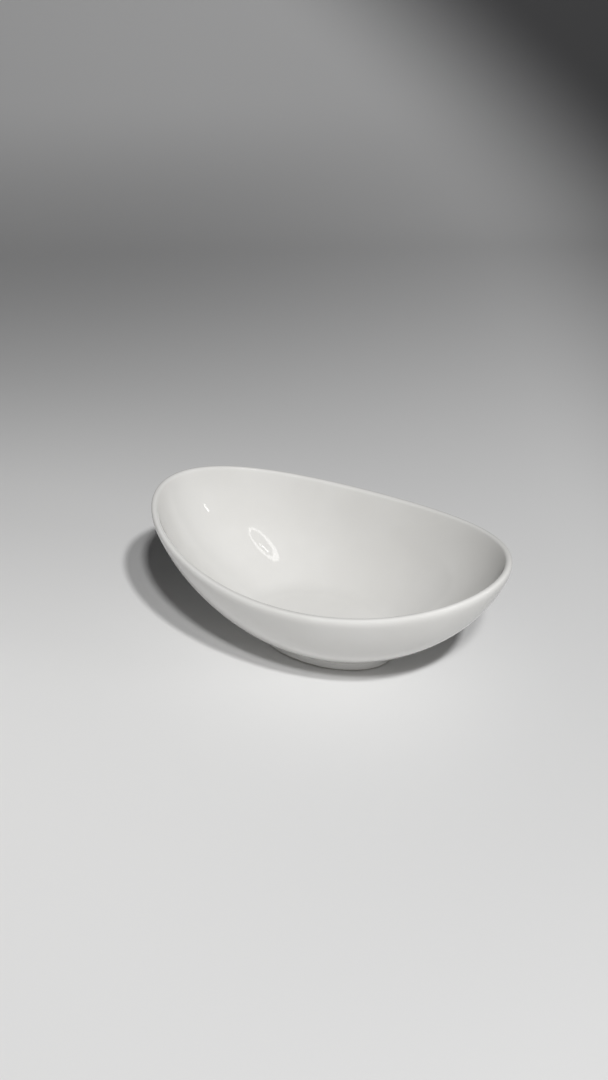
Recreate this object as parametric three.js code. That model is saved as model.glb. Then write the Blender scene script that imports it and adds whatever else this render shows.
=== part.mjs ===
// An oval deep plate in glazed white porcelain, in millimetres, +Z up.
// The origin is the middle of the foot, on the surface that the plate stands on, and +X runs along its length.
// The lip follows a saddle line: low along the two sides and high at the two ends.
import * as THREE from "three";
import { mergeVertices } from "three/addons/utils/BufferGeometryUtils.js";

// Overall sizes, over the outside of the lip
const OVERALL_LENGTH = 210;
const OVERALL_WIDTH = 130;
const SIDE_HEIGHT = 64;
const END_HEIGHT = 78;

// Shell
const LIP_THICKNESS = 4.4; // across the wall where the lip's round begins
const OUTER_LIP_ROUND = 7; // how far down the outside the round reaches
const INNER_LIP_ROUND = 1.6; // how far it reaches down the inside, and in from there over the top
const WALL_THICKNESS_AT_FOOT = 4.6;
const FLOOR_THICKNESS = 4.5;
const WALL_RISE_AT_LIP = 71; // degrees above the horizontal
const WALL_RISE_AT_FOOT = 30; // degrees above the horizontal
const FLOOR_BLEND_UP_WALL = 8; // how far the round between floor and wall climbs the wall
const FLOOR_BLEND_IN = 9; // how far inside the seat's edge the flat floor begins

// Foot ring
const FOOT_LENGTH = 84;
const FOOT_WIDTH = 52;
const FOOT_HEIGHT = 7.8;
const FOOT_RIM_WIDTH = 4.2; // across the ring where it stands
const OUTER_FACE_HEIGHT = 3; // the upright band under the outer cove
const INNER_FACE_HEIGHT = 4.6;
const FOOT_WAIST = 0.5; // how far the top of that band is drawn in
const FOOT_EDGE_ROUND = 0.8;
const OUTER_COVE = 2; // how far the outer cove reaches out to meet the wall
const INNER_COVE = 2.6; // how far the inner cove reaches in under the floor

// Facets
const STATIONS_ROUND = 96;
const WALL_STEPS = 12;
const OUTER_LIP_STEPS = 7;
const INNER_LIP_STEPS = 3;
const BLEND_STEPS = 4;
const COVE_STEPS = 4;
const EDGE_STEPS = 2;

// Where the pieces meet
const footHalfLength = FOOT_LENGTH / 2;
const footHalfWidth = FOOT_WIDTH / 2;
const floorTop = FOOT_HEIGHT + FLOOR_THICKNESS;

// A point of the oval that lies a distance inside the foot's outer edge, at one station round the plate.
function footOval(inset, height, angle) {
  const x = (footHalfLength - inset) * Math.cos(angle);
  const y = (footHalfWidth - inset) * Math.sin(angle);
  return new THREE.Vector3(x, y, height);
}

// Height of the top of the lip: a saddle with its two high points on the long axis.
function lipHeight(angle) {
  return SIDE_HEIGHT + (END_HEIGHT - SIDE_HEIGHT) * Math.cos(angle) ** 2;
}

// A curve from start to end that leaves and arrives at the given slopes.
function curveBySlopes(start, end, startSlope, endSlope) {
  const run = end.x - start.x;
  const rise = end.y - start.y;
  const bendRun = (run * endSlope - rise) / (endSlope - startSlope);
  const bend = new THREE.Vector2(start.x + bendRun, start.y + bendRun * startSlope);
  return new THREE.QuadraticBezierCurve(start, bend, end);
}

// One upright section of the shell, from the middle of the underside round the lip to the middle of the floor.
// Flat points are (distance out from the seat's edge, height).
function shellSection(angle) {
  const seatEdge = footOval(-OUTER_COVE, FOOT_HEIGHT, angle);
  const lipX = (OVERALL_LENGTH / 2) * Math.cos(angle);
  const lipY = (OVERALL_WIDTH / 2) * Math.sin(angle);
  const outward = new THREE.Vector2(lipX - seatEdge.x, lipY - seatEdge.y);
  const reach = outward.length();
  outward.normalize();
  const place = (flat) =>
    new THREE.Vector3(seatEdge.x + outward.x * flat.x, seatEdge.y + outward.y * flat.x, flat.y);

  const lipAngle = THREE.MathUtils.degToRad(WALL_RISE_AT_LIP);
  const footAngle = THREE.MathUtils.degToRad(WALL_RISE_AT_FOOT);
  const upWall = new THREE.Vector2(Math.cos(lipAngle), Math.sin(lipAngle));

  // The lip's two rounds bend at the corners that the wall would have if it ended in a flat top.
  const topWidth = LIP_THICKNESS / upWall.y;
  const crestInset = topWidth - INNER_LIP_ROUND;
  const lean = OUTER_LIP_ROUND * upWall.x;
  const cutByRound = (lean * crestInset) / (lean + crestInset);
  const outerCorner = new THREE.Vector2(reach + cutByRound, lipHeight(angle));
  const innerCorner = outerCorner.clone().sub(new THREE.Vector2(topWidth, 0));
  const crest = outerCorner.clone().sub(new THREE.Vector2(crestInset, 0));
  const wallTop = outerCorner.clone().addScaledVector(upWall, -OUTER_LIP_ROUND);
  const innerTop = innerCorner.clone().addScaledVector(upWall, -INNER_LIP_ROUND);
  const outerRound = new THREE.QuadraticBezierCurve(wallTop, outerCorner, crest);
  const innerRound = new THREE.QuadraticBezierCurve(crest, innerCorner, innerTop);

  const wallFoot = new THREE.Vector2(0, FOOT_HEIGHT);
  const wall = curveBySlopes(wallFoot, wallTop, Math.tan(footAngle), Math.tan(lipAngle));

  const innerWall = (share) => {
    const along = wall.getTangent(share);
    const inward = new THREE.Vector2(-along.y, along.x);
    const thickness = THREE.MathUtils.lerp(WALL_THICKNESS_AT_FOOT, LIP_THICKNESS, share);
    return wall.getPoint(share).addScaledVector(inward, thickness);
  };

  const section = [new THREE.Vector3(0, 0, FOOT_HEIGHT)];
  for (const flat of wall.getPoints(WALL_STEPS)) {
    section.push(place(flat));
  }
  for (const flat of outerRound.getPoints(OUTER_LIP_STEPS).slice(1)) {
    section.push(place(flat));
  }
  for (const flat of innerRound.getPoints(INNER_LIP_STEPS).slice(1)) {
    section.push(place(flat));
  }
  const blendShare = FLOOR_BLEND_UP_WALL / (2 * wall.v0.distanceTo(wall.v1));
  for (let step = 0; step <= WALL_STEPS; step += 1) {
    section.push(place(innerWall(THREE.MathUtils.lerp(1, blendShare, step / WALL_STEPS))));
  }

  const blendTop = innerWall(blendShare);
  const slope = wall.getTangent(blendShare);
  const drop = (blendTop.y - floorTop) / slope.y;
  const corner = blendTop.clone().addScaledVector(slope, -drop);
  corner.y = floorTop;
  const floorEdge = footOval(FLOOR_BLEND_IN - OUTER_COVE, floorTop, angle);
  const blend = new THREE.QuadraticBezierCurve3(place(blendTop), place(corner), floorEdge);
  section.push(...blend.getPoints(BLEND_STEPS).slice(1));
  section.push(new THREE.Vector3(0, 0, floorTop));
  return section;
}

// Points (inset from the foot's outer edge, height) of a cove that rises from a face and turns out under the shell.
// It arrives at the slope at which the wall leaves, so the two run on into each other.
function cove(faceInset, faceTop, reach) {
  const bendHeight = FOOT_HEIGHT - Math.abs(reach) * Math.tan(THREE.MathUtils.degToRad(WALL_RISE_AT_FOOT));
  const start = new THREE.Vector2(faceInset, faceTop);
  const bend = new THREE.Vector2(faceInset, bendHeight);
  const end = new THREE.Vector2(faceInset + reach, FOOT_HEIGHT);
  return new THREE.QuadraticBezierCurve(start, bend, end).getPoints(COVE_STEPS);
}

// Points of a rounded bottom edge, from the side of the ring to the flat that it stands on.
function bottomEdge(sideInset, inwards) {
  const points = [];
  for (let step = 0; step <= EDGE_STEPS; step += 1) {
    const turn = (Math.PI / 2) * (step / EDGE_STEPS);
    const inset = sideInset + inwards * FOOT_EDGE_ROUND * (1 - Math.cos(turn));
    points.push(new THREE.Vector2(inset, FOOT_EDGE_ROUND * (1 - Math.sin(turn))));
  }
  return points;
}

// The foot ring's section as a closed loop: down its inside, across the standing rim, up its outside, over the seat.
const footProfile = [
  ...cove(FOOT_RIM_WIDTH, INNER_FACE_HEIGHT, INNER_COVE).reverse(),
  ...bottomEdge(FOOT_RIM_WIDTH, -1),
  ...bottomEdge(0, 1).reverse(),
  ...cove(FOOT_WAIST, OUTER_FACE_HEIGHT, -OUTER_COVE - FOOT_WAIST),
];

function footSection(angle) {
  return footProfile.map((flat) => footOval(flat.x, flat.y, angle));
}

// Joins the sections round the plate into one skin. A closed section makes a ring; an open one ends in two poles.
function loft(sectionAt, sectionIsClosed) {
  const sections = [];
  for (let station = 0; station < STATIONS_ROUND; station += 1) {
    sections.push(sectionAt((2 * Math.PI * station) / STATIONS_ROUND));
  }
  const corners = [];
  const addTriangle = (a, b, c) => {
    if (!a.equals(b) && !b.equals(c) && !c.equals(a)) {
      corners.push(...a.toArray(), ...b.toArray(), ...c.toArray());
    }
  };
  sections.forEach((here, station) => {
    const next = sections[(station + 1) % STATIONS_ROUND];
    const bands = sectionIsClosed ? here.length : here.length - 1;
    for (let low = 0; low < bands; low += 1) {
      const high = (low + 1) % here.length;
      addTriangle(here[low], next[low], next[high]);
      addTriangle(here[low], next[high], here[high]);
    }
  });
  const loose = new THREE.BufferGeometry();
  loose.setAttribute("position", new THREE.Float32BufferAttribute(corners, 3));
  const skin = mergeVertices(loose);
  skin.computeVertexNormals();
  return skin;
}

function porcelain(colour, roughness) {
  return new THREE.MeshStandardMaterial({ color: colour, roughness, metalness: 0 });
}

function namedMesh(name, geometry, material) {
  const mesh = new THREE.Mesh(geometry, material);
  mesh.name = name;
  return mesh;
}

const plate = new THREE.Group();
plate.add(namedMesh("plate_body", loft(shellSection, false), porcelain(0xeceae5, 0.12)));
plate.add(namedMesh("foot_ring", loft(footSection, true), porcelain(0xe6e3dc, 0.2)));

export default plate;
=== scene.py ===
# An oval deep plate in glazed white porcelain, standing on a pale studio floor.
# Metres, +Z up. The origin is the middle of the foot, on the floor, and +X runs along the plate's length.
import math

import bpy
from mathutils import Matrix, Vector


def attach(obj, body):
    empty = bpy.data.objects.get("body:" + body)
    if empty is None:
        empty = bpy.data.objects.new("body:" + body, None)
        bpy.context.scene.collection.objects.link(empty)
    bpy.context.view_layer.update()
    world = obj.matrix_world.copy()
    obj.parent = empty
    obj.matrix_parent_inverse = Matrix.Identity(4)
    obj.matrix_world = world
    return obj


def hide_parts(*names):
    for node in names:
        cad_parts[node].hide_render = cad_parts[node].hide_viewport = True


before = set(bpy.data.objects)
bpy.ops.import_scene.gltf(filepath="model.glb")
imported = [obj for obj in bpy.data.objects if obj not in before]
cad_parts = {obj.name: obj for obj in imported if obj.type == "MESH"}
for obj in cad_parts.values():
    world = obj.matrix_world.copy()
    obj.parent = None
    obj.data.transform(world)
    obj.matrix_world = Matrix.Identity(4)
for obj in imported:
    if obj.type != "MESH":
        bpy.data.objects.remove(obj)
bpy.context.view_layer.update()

# Overall sizes, over the outside of the lip
OVERALL_LENGTH = 0.210
OVERALL_WIDTH = 0.130
SIDE_HEIGHT = 0.064
END_HEIGHT = 0.078

# Shell
LIP_THICKNESS = 0.0044
OUTER_LIP_ROUND = 0.007
INNER_LIP_ROUND = 0.0016
WALL_THICKNESS_AT_FOOT = 0.0046
FLOOR_THICKNESS = 0.0045
WALL_RISE_AT_LIP = math.radians(71)
WALL_RISE_AT_FOOT = math.radians(30)
FLOOR_BLEND_UP_WALL = 0.008
FLOOR_BLEND_IN = 0.009

# Foot ring
FOOT_LENGTH = 0.084
FOOT_WIDTH = 0.052
FOOT_HEIGHT = 0.0078
FOOT_RIM_WIDTH = 0.0042
OUTER_FACE_HEIGHT = 0.003
INNER_FACE_HEIGHT = 0.0046
FOOT_WAIST = 0.0005
FOOT_EDGE_ROUND = 0.0008
OUTER_COVE = 0.002
INNER_COVE = 0.0026

# Facets
STATIONS_ROUND = 288
WALL_STEPS = 40
OUTER_LIP_STEPS = 21
INNER_LIP_STEPS = 9
LIP_FACE_STEPS = 4
BLEND_STEPS = 14
FLOOR_RINGS = 8
SEAT_RINGS = 4
COVE_STEPS = 10
EDGE_STEPS = 6
FACE_STEPS = 3
CREASE_ANGLE = math.radians(25)  # edges sharper than this, round the seat of the foot, aren't shaded smooth

floor_top = FOOT_HEIGHT + FLOOR_THICKNESS
up_wall = Vector((math.cos(WALL_RISE_AT_LIP), math.sin(WALL_RISE_AT_LIP)))


def bezier(start, bend, end, share):
    return start * (1 - share) ** 2 + bend * (2 * share * (1 - share)) + end * share ** 2


def bezier_direction(start, bend, end, share):
    return ((bend - start) * (1 - share) + (end - bend) * share).normalized()


def shares(steps):
    return [step / steps for step in range(steps + 1)]


def foot_oval(inset, height, angle):
    x = (FOOT_LENGTH / 2 - inset) * math.cos(angle)
    y = (FOOT_WIDTH / 2 - inset) * math.sin(angle)
    return Vector((x, y, height))


def lip_height(angle):
    return SIDE_HEIGHT + (END_HEIGHT - SIDE_HEIGHT) * math.cos(angle) ** 2


# Flat points of an upright section are (distance out from the seat's edge, height).
def lip_outline(reach, angle):
    """The flat points that bound the lip's two rounds, from the top of the wall over the crest to the inside.

    The rounds bend at the two corners that the wall would have if it ended in a flat top.
    """
    top_width = LIP_THICKNESS / up_wall.y
    crest_inset = top_width - INNER_LIP_ROUND
    lean = OUTER_LIP_ROUND * up_wall.x
    cut_by_round = lean * crest_inset / (lean + crest_inset)
    outer_corner = Vector((reach + cut_by_round, lip_height(angle)))
    inner_corner = outer_corner - Vector((top_width, 0))
    crest = outer_corner - Vector((crest_inset, 0))
    wall_top = outer_corner - up_wall * OUTER_LIP_ROUND
    inner_top = inner_corner - up_wall * INNER_LIP_ROUND
    return wall_top, outer_corner, crest, inner_corner, inner_top


def wall_bend(start, end):
    """Where the wall's outer curve bends, so that it starts at the foot's slope and ends at the lip's."""
    run, rise = end - start
    foot_slope, lip_slope = math.tan(WALL_RISE_AT_FOOT), math.tan(WALL_RISE_AT_LIP)
    bend_run = (run * lip_slope - rise) / (lip_slope - foot_slope)
    return start + Vector((bend_run, bend_run * foot_slope))


def inner_wall(wall, share):
    """A flat point of the wall's inner face: the outer curve moved inwards by the wall's thickness."""
    along = bezier_direction(*wall, share)
    thickness = WALL_THICKNESS_AT_FOOT + (LIP_THICKNESS - WALL_THICKNESS_AT_FOOT) * share
    return bezier(*wall, share) + Vector((-along.y, along.x)) * thickness


def shell_section(angle):
    """Points from the middle of the underside up the wall, round the lip and in to the floor's middle."""
    seat_edge = foot_oval(-OUTER_COVE, FOOT_HEIGHT, angle)
    lip = Vector((OVERALL_LENGTH / 2 * math.cos(angle), OVERALL_WIDTH / 2 * math.sin(angle)))
    outward = lip - seat_edge.xy
    reach = outward.length
    outward.normalize()

    def place(flat):
        return Vector((*(seat_edge.xy + outward * flat.x), flat.y))

    wall_top, outer_corner, crest, inner_corner, inner_top = lip_outline(reach, angle)
    wall_foot = Vector((0, FOOT_HEIGHT))
    bend = wall_bend(wall_foot, wall_top)
    wall = wall_foot, bend, wall_top
    underside = Vector((0, 0, FOOT_HEIGHT))
    points = [underside.lerp(seat_edge, share) for share in shares(SEAT_RINGS)[:-1]]
    points += [place(bezier(*wall, share)) for share in shares(WALL_STEPS)]
    points += [place(bezier(wall_top, outer_corner, crest, share)) for share in shares(OUTER_LIP_STEPS)[1:]]
    points += [place(bezier(crest, inner_corner, inner_top, share)) for share in shares(INNER_LIP_STEPS)[1:]]
    points += [place(inner_top.lerp(inner_wall(wall, 1), share)) for share in shares(LIP_FACE_STEPS)[1:-1]]
    blend_share = FLOOR_BLEND_UP_WALL / (2 * (bend - wall_foot).length)
    points += [place(inner_wall(wall, 1 + (blend_share - 1) * share)) for share in shares(WALL_STEPS)]

    blend_top = inner_wall(wall, blend_share)
    slope = bezier_direction(*wall, blend_share)
    corner = blend_top - slope * ((blend_top.y - floor_top) / slope.y)
    floor_edge = foot_oval(FLOOR_BLEND_IN - OUTER_COVE, floor_top, angle)
    blend = place(blend_top), place(corner), floor_edge
    points += [bezier(*blend, share) for share in shares(BLEND_STEPS)[1:]]
    middle = Vector((0, 0, floor_top))
    points += [floor_edge.lerp(middle, share) for share in shares(FLOOR_RINGS)[1:]]
    return points


def cove(face_inset, face_top, reach):
    """Points (inset, height) of a hollow that rises from a face and turns out under the shell."""
    start = Vector((face_inset, face_top))
    bend = Vector((face_inset, FOOT_HEIGHT - abs(reach) * math.tan(WALL_RISE_AT_FOOT)))
    end = Vector((face_inset + reach, FOOT_HEIGHT))
    return [bezier(start, bend, end, share) for share in shares(COVE_STEPS)]


def bottom_edge(side_inset, inwards):
    """Points of a rounded bottom edge, from the side of the ring to the flat that it stands on."""
    points = []
    for share in shares(EDGE_STEPS):
        turn = math.pi / 2 * share
        inset = side_inset + inwards * FOOT_EDGE_ROUND * (1 - math.cos(turn))
        points.append(Vector((inset, FOOT_EDGE_ROUND * (1 - math.sin(turn)))))
    return points


def face(lower, upper):
    return [lower.lerp(upper, share) for share in shares(FACE_STEPS)[1:-1]]


def foot_profile():
    """The ring's section as a closed loop: down its inside, across the rim, up its outside, over the seat."""
    inner_cove = cove(FOOT_RIM_WIDTH, INNER_FACE_HEIGHT, INNER_COVE)
    inner_edge = bottom_edge(FOOT_RIM_WIDTH, -1)
    outer_edge = bottom_edge(0, 1)
    outer_cove = cove(FOOT_WAIST, OUTER_FACE_HEIGHT, -OUTER_COVE - FOOT_WAIST)
    points = inner_cove[::-1] + face(inner_cove[0], inner_edge[0]) + inner_edge
    points += face(inner_edge[-1], outer_edge[-1]) + outer_edge[::-1]
    points += face(outer_edge[0], outer_cove[0]) + outer_cove
    return points


ring_profile = foot_profile()


def foot_section(angle):
    return [foot_oval(flat.x, flat.y, angle) for flat in ring_profile]


def loft(name, section_at, closed):
    """Joins sections round the plate into one mesh. An open section starts and ends on the upright axis."""
    sections = [section_at(2 * math.pi * station / STATIONS_ROUND) for station in range(STATIONS_ROUND)]
    length = len(sections[0])
    first, last = (0, length) if closed else (1, length - 1)
    width = last - first
    points = [point for section in sections for point in section[first:last]]
    faces = []
    for station in range(STATIONS_ROUND):
        here, after = station * width, (station + 1) % STATIONS_ROUND * width
        for low in range(width if closed else width - 1):
            high = (low + 1) % width
            faces.append((here + low, after + low, after + high, here + high))
    if not closed:
        bottom, top = len(points), len(points) + 1
        points += [sections[0][0], sections[0][-1]]
        for station in range(STATIONS_ROUND):
            here, after = station * width, (station + 1) % STATIONS_ROUND * width
            faces.append((bottom, after, here))
            faces.append((top, here + width - 1, after + width - 1))
    mesh = bpy.data.meshes.new(name)
    mesh.from_pydata(points, [], faces)
    mesh.validate()
    mesh.shade_smooth()
    mesh.set_sharp_from_angle(angle=CREASE_ANGLE)
    piece = bpy.data.objects.new(name, mesh)
    bpy.context.collection.objects.link(piece)
    return piece


class Nodes:
    """A material's node tree, with short calls for the nodes that the glazes and the floor use."""

    def __init__(self, name):
        self.material = bpy.data.materials.new(name)
        self.material.use_nodes = True
        self.tree = self.material.node_tree
        self.shader = self.tree.nodes["Principled BSDF"]
        self.place = self.add("ShaderNodeTexCoord").outputs["Object"]

    def add(self, kind, **settings):
        node = self.tree.nodes.new(kind)
        for key, value in settings.items():
            setattr(node, key, value)
        return node

    def link(self, source, target):
        self.tree.links.new(source, target)

    def noise(self, scale, detail):
        node = self.add("ShaderNodeTexNoise")
        self.link(self.place, node.inputs["Vector"])
        node.inputs["Scale"].default_value = scale
        node.inputs["Detail"].default_value = detail
        return node.outputs["Fac"]

    def remap(self, value, low, high, to_low=0.0, to_high=1.0):
        """Moves a value from one range to another, eased at both ends."""
        node = self.add("ShaderNodeMapRange", interpolation_type="SMOOTHSTEP")
        self.link(value, node.inputs["Value"])
        for key, number in (("From Min", low), ("From Max", high), ("To Min", to_low), ("To Max", to_high)):
            node.inputs[key].default_value = number
        return node.outputs["Result"]

    def mix(self, share, first, second):
        """Mixes two colours, each a plain colour or another node's output. Inputs 6 and 7 are the colours."""
        node = self.add("ShaderNodeMix", data_type="RGBA")
        self.link(share, node.inputs["Factor"])
        for socket, colour in ((node.inputs[6], first), (node.inputs[7], second)):
            if isinstance(colour, tuple):
                socket.default_value = (*colour, 1)
            else:
                self.link(colour, socket)
        return node.outputs[2]

    def along(self, direction):
        """How far a point of the surface lies along a direction, in the object's own metres."""
        node = self.add("ShaderNodeVectorMath", operation="DOT_PRODUCT")
        self.link(self.place, node.inputs[0])
        node.inputs[1].default_value = direction
        return node.outputs["Value"]

    def distance(self, point):
        node = self.add("ShaderNodeVectorMath", operation="DISTANCE")
        self.link(self.place, node.inputs[0])
        node.inputs[1].default_value = point
        return node.outputs["Value"]

    def bump(self, height, depth, previous=None):
        node = self.add("ShaderNodeBump")
        node.inputs["Distance"].default_value = depth
        self.link(height, node.inputs["Height"])
        if previous:
            self.link(previous, node.inputs["Normal"])
        return node.outputs["Normal"]


# Glaze. Every noise scale is in waves per metre.
GLAZE_COLOUR = (0.725, 0.718, 0.698)
GLAZE_POOLED = (0.700, 0.692, 0.670)
# The foot's two glaze colours are lighter than the body's: painted light, brightening the foot ring beyond
# what the lamps give it.
FOOT_GLAZE_WITH_PAINTED_LIGHT = (0.860, 0.852, 0.832)
FOOT_GLAZE_POOLED_WITH_PAINTED_LIGHT = (0.835, 0.826, 0.802)
GLAZE_IOR = 1.5
GLAZE_CLOUD_SCALE = 26
GLAZE_SHEEN_SCALE = 90
GLAZE_SMOOTHEST = 0.02
GLAZE_ROUGHEST = 0.045
SWELL_SCALE = 45
SWELL_DEPTH = 0.00005
PEEL_SCALE = 900
PEEL_DEPTH = 0.000008

# Bare biscuit on the rim that the foot stands on: its own speckled colour, darkened further as painted
# contact shade where the foot meets the floor
BISCUIT_WITH_PAINTED_SHADE = (0.600, 0.577, 0.535)
BISCUIT_DARK_WITH_PAINTED_SHADE = (0.480, 0.455, 0.415)
BISCUIT_ROUGHNESS = 0.75
BISCUIT_GRAIN_SCALE = 1500
FOOT_GLAZE_ROUGHNESS = 0.08
GLAZE_LINE = 0.0009  # the height at which the glaze ends
GLAZE_LINE_BLUR = 0.0001
GLAZE_LINE_WANDER = 0.0002
GLAZE_LINE_SCALE = 120


def glaze(name, colour, pooled):
    """Glossy glaze with faint clouds where it pools, a slow swell and a fine orange peel."""
    nodes = Nodes(name)
    cloud = nodes.remap(nodes.noise(GLAZE_CLOUD_SCALE, detail=4), low=0.35, high=0.7)
    sheen = nodes.noise(GLAZE_SHEEN_SCALE, detail=2)
    sheen = nodes.remap(sheen, low=0.3, high=0.7, to_low=GLAZE_SMOOTHEST, to_high=GLAZE_ROUGHEST)
    swell = nodes.bump(nodes.noise(SWELL_SCALE, detail=1), SWELL_DEPTH)
    peel = nodes.bump(nodes.noise(PEEL_SCALE, detail=2), PEEL_DEPTH, previous=swell)
    nodes.link(nodes.mix(cloud, colour, pooled), nodes.shader.inputs["Base Color"])
    nodes.link(sheen, nodes.shader.inputs["Roughness"])
    nodes.link(peel, nodes.shader.inputs["Normal"])
    nodes.shader.inputs["IOR"].default_value = GLAZE_IOR
    return nodes


def foot_glaze():
    """The body's glaze on the sides of the ring, painted lighter as painted light, wiped off to bare biscuit
    where the ring stands; the biscuit is darkened as painted contact shade.
    """
    nodes = glaze("foot_porcelain_glaze", FOOT_GLAZE_WITH_PAINTED_LIGHT, FOOT_GLAZE_POOLED_WITH_PAINTED_LIGHT)
    wander = nodes.noise(GLAZE_LINE_SCALE, detail=3)
    wander = nodes.remap(wander, low=0.3, high=0.7, to_low=-GLAZE_LINE_WANDER, to_high=GLAZE_LINE_WANDER)
    edge = nodes.add("ShaderNodeMath", operation="ADD")
    nodes.link(nodes.along((0, 0, 1)), edge.inputs[0])
    nodes.link(wander, edge.inputs[1])
    glazed = nodes.remap(edge.outputs[0], GLAZE_LINE - GLAZE_LINE_BLUR, GLAZE_LINE + GLAZE_LINE_BLUR)
    specks = nodes.remap(nodes.noise(BISCUIT_GRAIN_SCALE, detail=4), low=0.35, high=0.65)
    # Biscuit speckle in colours darkened as painted contact shade along the floor.
    grain = nodes.mix(specks, BISCUIT_WITH_PAINTED_SHADE, BISCUIT_DARK_WITH_PAINTED_SHADE)
    glossy = nodes.shader.inputs["Base Color"].links[0].from_socket
    nodes.link(nodes.mix(glazed, grain, glossy), nodes.shader.inputs["Base Color"])
    roughness = nodes.remap(glazed, 0, 1, to_low=BISCUIT_ROUGHNESS, to_high=FOOT_GLAZE_ROUGHNESS)
    nodes.link(roughness, nodes.shader.inputs["Roughness"])
    return nodes


def show_piece(piece, node, material):
    piece.data.materials.append(material)
    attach(piece, "root")
    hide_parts(node)


shell = loft("plate_shell", shell_section, closed=False)
foot = loft("plate_foot", foot_section, closed=True)
shell_glaze = glaze("white_porcelain_glaze", GLAZE_COLOUR, GLAZE_POOLED)
show_piece(shell, "plate_body", shell_glaze.material)
show_piece(foot, "foot_ring", foot_glaze().material)

# Camera
VIEW_AZIMUTH = math.radians(28.52)
VIEW_ELEVATION = math.radians(33.27)
VIEW_ROLL = math.radians(-0.75)
VIEW_DISTANCE = 0.74912
VIEW_RIGHT = 0.01241
VIEW_DOWN = 0.05651
LENS = 43.33
SENSOR = 36


def make_camera():
    turn, lift = VIEW_AZIMUTH, VIEW_ELEVATION
    level = Vector((math.cos(turn), math.sin(turn), 0))
    upright = Vector((-math.sin(turn) * math.sin(lift), math.cos(turn) * math.sin(lift), math.cos(lift)))
    back = level.cross(upright)
    right = level * math.cos(VIEW_ROLL) + upright * math.sin(VIEW_ROLL)
    up = upright * math.cos(VIEW_ROLL) - level * math.sin(VIEW_ROLL)
    place = back * VIEW_DISTANCE - right * VIEW_RIGHT + up * VIEW_DOWN
    data = bpy.data.cameras.new("camera")
    data.sensor_width = SENSOR
    data.lens = LENS
    data.clip_start = 0.01
    data.clip_end = 20
    camera = bpy.data.objects.new("camera", data)
    camera.matrix_world = Matrix.Translation(place) @ Matrix((right, up, back)).transposed().to_4x4()
    bpy.context.collection.objects.link(camera)
    bpy.context.scene.camera = camera


# Floor and backdrop: one sweep, turned to face the camera
FLOOR_FRONT = 3.0
FLOOR_BACK = 0.62
SWEEP_RADIUS = 0.35
SWEEP_STEPS = 24
BACKDROP_TOP = 2.4
STAGE_HALF_WIDTH = 3.0
STAGE_AHEAD = Vector((-math.sin(VIEW_AZIMUTH), math.cos(VIEW_AZIMUTH), 0))
STAGE_ACROSS = Vector((math.cos(VIEW_AZIMUTH), math.sin(VIEW_AZIMUTH), 0))
# The paper's tones are painted light and shade: it darkens away from the plate and up the backdrop as painted
# falloff of the light.
PAPER_NEAR = (0.70, 0.70, 0.698)
PAPER_FAR_PAINTED_SHADE = (0.40, 0.400, 0.402)
# Painted light: a pool of light painted on the paper on each side.
PAPER_LEFT_PAINTED_LIGHT = (0.99, 0.985, 0.975)
PAPER_RIGHT_PAINTED_LIGHT = (0.97, 0.97, 0.970)
PAPER_BACKDROP_PAINTED_SHADE = (0.53, 0.530, 0.532)
# Painted shade: one dark corner painted up and to the right on the sweep.
PAPER_CORNER_PAINTED_SHADE = (0.08, 0.08, 0.082)
LEFT_PAINTED_LIGHT_POOL = STAGE_ACROSS * -0.25 + STAGE_AHEAD * -0.03
RIGHT_PAINTED_LIGHT_POOL = STAGE_ACROSS * 0.65 + STAGE_AHEAD * 0.48
CORNER_DIRECTION = STAGE_ACROSS * 0.63 + Vector((0, 0, 0.78))
PAPER_ROUGHNESS = 0.6
PAPER_GRAIN_SCALE = 1200
PAPER_GRAIN_DEPTH = 0.00002

# Where each change of the paper's tone begins and ends, in metres along or from what it is measured by
NEAR_TO_FAR = (0.08, 0.61)
RIGHT_POOL_REACH = (-0.30, 0.90)
LEFT_POOL_REACH = (-0.18, 0.40)
FLOOR_TO_BACKDROP = (-0.007, 0.09)
CORNER_REACH = (0.10, 0.28)


def pale_paper():
    """Pale paper with painted light and shade: it darkens towards the backdrop, with a painted pool of light
    on each side and one corner of painted shade.
    """
    nodes = Nodes("pale_paper")
    far = nodes.remap(nodes.along(STAGE_AHEAD), *NEAR_TO_FAR)
    out_of_right_pool = nodes.remap(nodes.distance(RIGHT_PAINTED_LIGHT_POOL), *RIGHT_POOL_REACH)
    out_of_left_pool = nodes.remap(nodes.distance(LEFT_PAINTED_LIGHT_POOL), *LEFT_POOL_REACH)
    on_backdrop = nodes.remap(nodes.along((0, 0, 1)), *FLOOR_TO_BACKDROP)
    in_painted_shade_corner = nodes.remap(nodes.along(CORNER_DIRECTION), *CORNER_REACH)
    tone = nodes.mix(far, PAPER_NEAR, PAPER_FAR_PAINTED_SHADE)
    tone = nodes.mix(out_of_right_pool, PAPER_RIGHT_PAINTED_LIGHT, tone)
    tone = nodes.mix(out_of_left_pool, PAPER_LEFT_PAINTED_LIGHT, tone)
    tone = nodes.mix(on_backdrop, tone, PAPER_BACKDROP_PAINTED_SHADE)
    tone = nodes.mix(in_painted_shade_corner, tone, PAPER_CORNER_PAINTED_SHADE)
    nodes.link(tone, nodes.shader.inputs["Base Color"])
    nodes.shader.inputs["Roughness"].default_value = PAPER_ROUGHNESS
    grain = nodes.bump(nodes.noise(PAPER_GRAIN_SCALE, detail=2), PAPER_GRAIN_DEPTH)
    nodes.link(grain, nodes.shader.inputs["Normal"])
    return nodes.material


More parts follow.
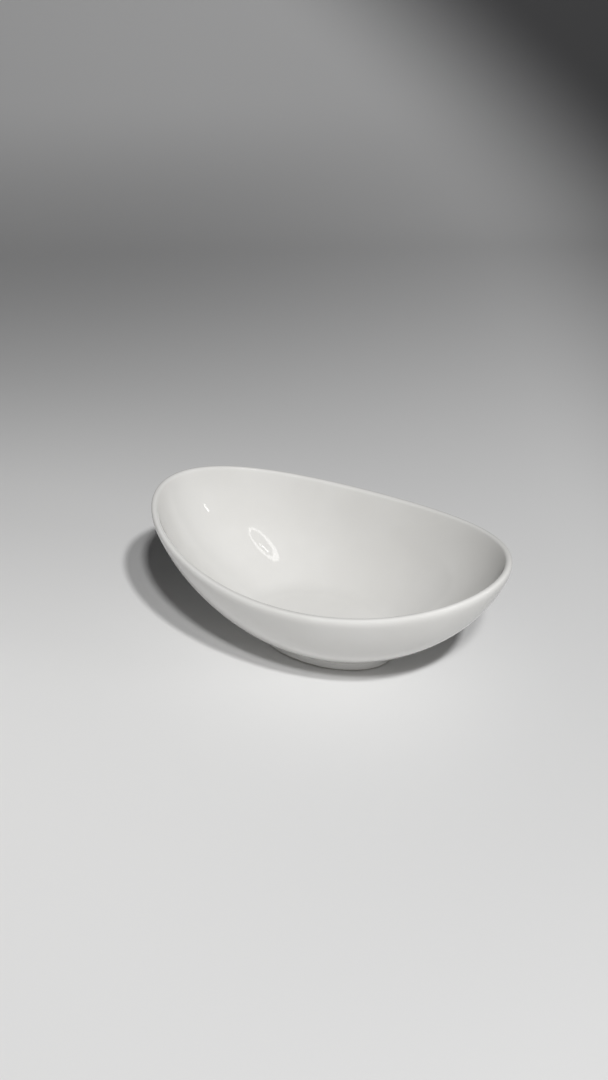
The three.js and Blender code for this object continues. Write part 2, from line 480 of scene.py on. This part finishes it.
def make_stage():
    points, faces = [], []
    profile = [(-FLOOR_FRONT, 0.0), (0.0, 0.0), (FLOOR_BACK, 0.0)]
    for share in shares(SWEEP_STEPS)[1:]:
        turn = math.pi / 2 * share
        profile.append((FLOOR_BACK + SWEEP_RADIUS * math.sin(turn), SWEEP_RADIUS * (1 - math.cos(turn))))
    profile.append((FLOOR_BACK + SWEEP_RADIUS, BACKDROP_TOP))
    for depth, height in profile:
        for side in (-STAGE_HALF_WIDTH, STAGE_HALF_WIDTH):
            points.append(STAGE_AHEAD * depth + STAGE_ACROSS * side + Vector((0, 0, height)))
    for row in range(len(profile) - 1):
        faces.append((2 * row, 2 * row + 1, 2 * row + 3, 2 * row + 2))
    mesh = bpy.data.meshes.new("studio_sweep")
    mesh.from_pydata(points, [], faces)
    mesh.shade_smooth()
    sweep = bpy.data.objects.new("studio_sweep", mesh)
    bpy.context.collection.objects.link(sweep)
    mesh.materials.append(pale_paper())


# Lamps
LAMP_TARGET = Vector((0, 0, 0.03))
SKY_COLOUR = (0.93, 0.95, 1, 1)
SKY_STRENGTH = 0.02


def make_lamp(name, direction, distance, diameter, power):
    """A round lamp that lights the scene but isn't mirrored in the glaze."""
    direction = Vector(direction).normalized()
    data = bpy.data.lights.new(name, "AREA")
    data.shape = "DISK"
    data.size = diameter
    data.energy = power
    lamp = bpy.data.objects.new(name, data)
    lamp.location = LAMP_TARGET + direction * distance
    lamp.rotation_mode = "QUATERNION"
    lamp.rotation_quaternion = direction.to_track_quat("Z", "Y")
    lamp.visible_glossy = False
    bpy.context.collection.objects.link(lamp)


# Highlights: flat glowing shapes that are seen only in the glaze, all on one plane that faces the plate
GLOW_TARGET = Vector((-0.055, 0.027, 0.030))
GLOW_DIRECTION = Vector((0.508, -0.316, 0.801)).normalized()
GLOW_DISTANCE = 1.2
GLOW_COLOUR = (1, 0.99, 0.97, 1)


def make_glow(name, outline, strength):
    """A glowing sheet. The outline is a list of rows of points (across, up) on the highlight plane."""
    across = Vector((0, 0, 1)).cross(GLOW_DIRECTION).normalized()
    upward = GLOW_DIRECTION.cross(across)
    centre = GLOW_TARGET + GLOW_DIRECTION * GLOW_DISTANCE
    points = [centre + across * flat.x + upward * flat.y for row in outline for flat in row]
    width = len(outline[0])
    faces = []
    for row in range(len(outline) - 1):
        for low in range(width - 1):
            corner = row * width + low
            faces.append((corner, corner + 1, corner + 1 + width, corner + width))
    mesh = bpy.data.meshes.new(name)
    mesh.from_pydata(points, [], faces)
    sheet = bpy.data.objects.new(name, mesh)
    bpy.context.collection.objects.link(sheet)
    material = bpy.data.materials.new(name)
    material.use_nodes = True
    shader = material.node_tree.nodes["Principled BSDF"]
    shader.inputs["Base Color"].default_value = (0, 0, 0, 1)
    shader.inputs["Emission Color"].default_value = GLOW_COLOUR
    shader.inputs["Emission Strength"].default_value = strength
    mesh.materials.append(material)
    sheet.visible_camera = False
    sheet.visible_diffuse = False
    sheet.visible_shadow = False


# The oval ring, the streak inside it and the small glint beside it, measured on that plane
RING_STEPS = 72
RING_HALF_WIDTH = 0.157
RING_HALF_HEIGHT = 0.21
RING_DROP = 0.016
RING_BAND = 0.049
RING_BAND_CHANGE = 0.022
RING_WIDEST = math.radians(135)
RING_STRENGTH = 3.9
STREAK_START = Vector((0.062, -0.012))
STREAK_END = Vector((0.015, 0.085))
STREAK_WIDTH = 0.03
STREAK_STRENGTH = 7
GLINT_START = Vector((0.942, -0.581))
GLINT_END = Vector((0.859, -0.419))
GLINT_WIDTH = 0.034
GLINT_STRENGTH = 13


def ring_outline():
    """An oval band, wider on one side."""
    rows = []
    for share in shares(RING_STEPS):
        turn = 2 * math.pi * share
        band = RING_BAND + RING_BAND_CHANGE * math.cos(turn - RING_WIDEST)
        row = []
        for inset in (0, band):
            across = (RING_HALF_WIDTH - inset) * math.cos(turn)
            row.append(Vector((across, (RING_HALF_HEIGHT - inset) * math.sin(turn) - RING_DROP)))
        rows.append(row)
    return rows


def bar_outline(start, end, width):
    side = (end - start).orthogonal().normalized() * width / 2
    return [[start - side, start + side], [end - side, end + side]]


def make_sky():
    world = bpy.data.worlds.new("studio")
    world.use_nodes = True
    background = world.node_tree.nodes["Background"]
    background.inputs["Color"].default_value = SKY_COLOUR
    background.inputs["Strength"].default_value = SKY_STRENGTH
    bpy.context.scene.world = world


make_camera()
make_stage()
make_lamp("main_lamp", direction=(0.574, -0.470, 1), distance=1.6, diameter=0.09, power=14.1)
make_lamp("second_lamp", direction=(0.489, -0.632, 1), distance=1.6, diameter=0.12, power=10.7)
make_lamp("low_fill", direction=(-0.2, -1, 0.06), distance=0.8, diameter=0.16, power=0.5)
make_lamp("right_fill", direction=(0.93, 0.11, 0.35), distance=1.4, diameter=0.3, power=1.5)
make_glow("ring_glow", ring_outline(), RING_STRENGTH)
make_glow("streak_glow", bar_outline(STREAK_START, STREAK_END, STREAK_WIDTH), STREAK_STRENGTH)
make_glow("glint_glow", bar_outline(GLINT_START, GLINT_END, GLINT_WIDTH), GLINT_STRENGTH)
make_sky()
bpy.context.scene.view_settings.view_transform = "Standard"
